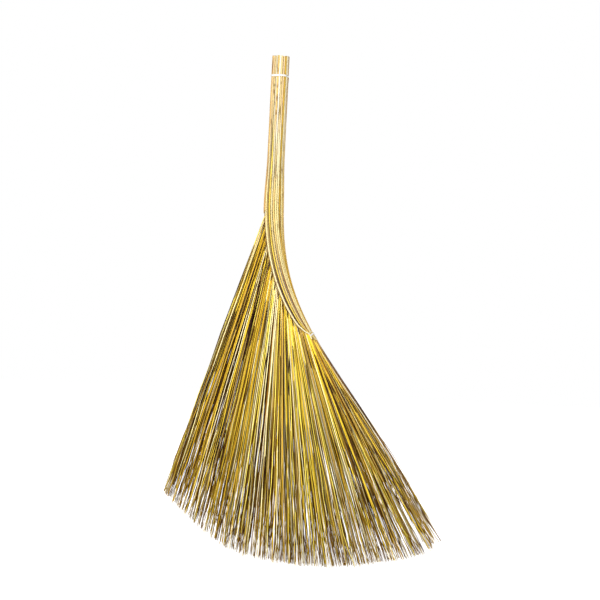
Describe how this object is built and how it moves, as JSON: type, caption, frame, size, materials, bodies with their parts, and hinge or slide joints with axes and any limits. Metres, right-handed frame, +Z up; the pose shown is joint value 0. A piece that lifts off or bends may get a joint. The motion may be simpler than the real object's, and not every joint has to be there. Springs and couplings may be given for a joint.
{
  "type": "coconut rib broom",
  "caption": "Yard broom of coconut leaf ribs: a round tied bundle for a handle, a bent spine and a flat one-sided fan of loose ribs with tips trimmed to an arc.",
  "frame": {"origin": "on the axis of the straight handle, where a hand or a wall clip holds it, 140 mm below the cut end", "axes": "+Z up along the handle to its cut end, +X to the side that the spine and fan bend to, -Y the front of the flat fan"},
  "size_m": [0.5112, 0.0376, 0.9145],
  "materials": {
    "handle_rib": "dry split leaf rib, pale straw with golden, olive and brown ones",
    "fan_rib": "dry leaf rib, golden to olive brown, darker at the tips",
    "tie": "white split-film string",
    "stitching": "pale twisted cord"
  },
  "bodies": {
    "root": {"handle_rib_01": "handle_rib", "handle_rib_02": "handle_rib", "handle_rib_03": "handle_rib", "handle_rib_04": "handle_rib", "handle_rib_05": "handle_rib", "handle_rib_06": "handle_rib", "handle_rib_07": "handle_rib", "handle_rib_08": "handle_rib", "handle_rib_09": "handle_rib", "handle_rib_10": "handle_rib", "handle_rib_11": "handle_rib", "handle_rib_12": "handle_rib", "handle_rib_13": "handle_rib", "handle_rib_14": "handle_rib", "handle_rib_15": "handle_rib", "handle_rib_16": "handle_rib", "handle_rib_17": "handle_rib", "handle_rib_18": "handle_rib", "handle_rib_19": "handle_rib", "handle_rib_20": "handle_rib", "handle_rib_21": "handle_rib", "handle_rib_22": "handle_rib", "handle_rib_23": "handle_rib", "handle_rib_24": "handle_rib", "handle_rib_25": "handle_rib", "handle_rib_26": "handle_rib", "handle_rib_27": "handle_rib", "handle_rib_28": "handle_rib", "inner_ribs": "handle_rib", "spine_core": "handle_rib", "hank_01": "fan_rib", "hank_02": "fan_rib", "hank_03": "fan_rib", "hank_04": "fan_rib", "hank_05": "fan_rib", "hank_06": "fan_rib", "hank_07": "fan_rib", "hank_08": "fan_rib", "hank_09": "fan_rib", "hank_10": "fan_rib", "hank_11": "fan_rib", "hank_12": "fan_rib", "hank_13": "fan_rib", "hank_14": "fan_rib", "top_tie": "tie", "top_tie_knot": "tie", "lower_tie_band": "tie", "lower_tie_cord": "tie", "lower_tie_knot": "tie", "front_stitching": "stitching", "back_stitching": "stitching"}
  },
  "joints": []
}
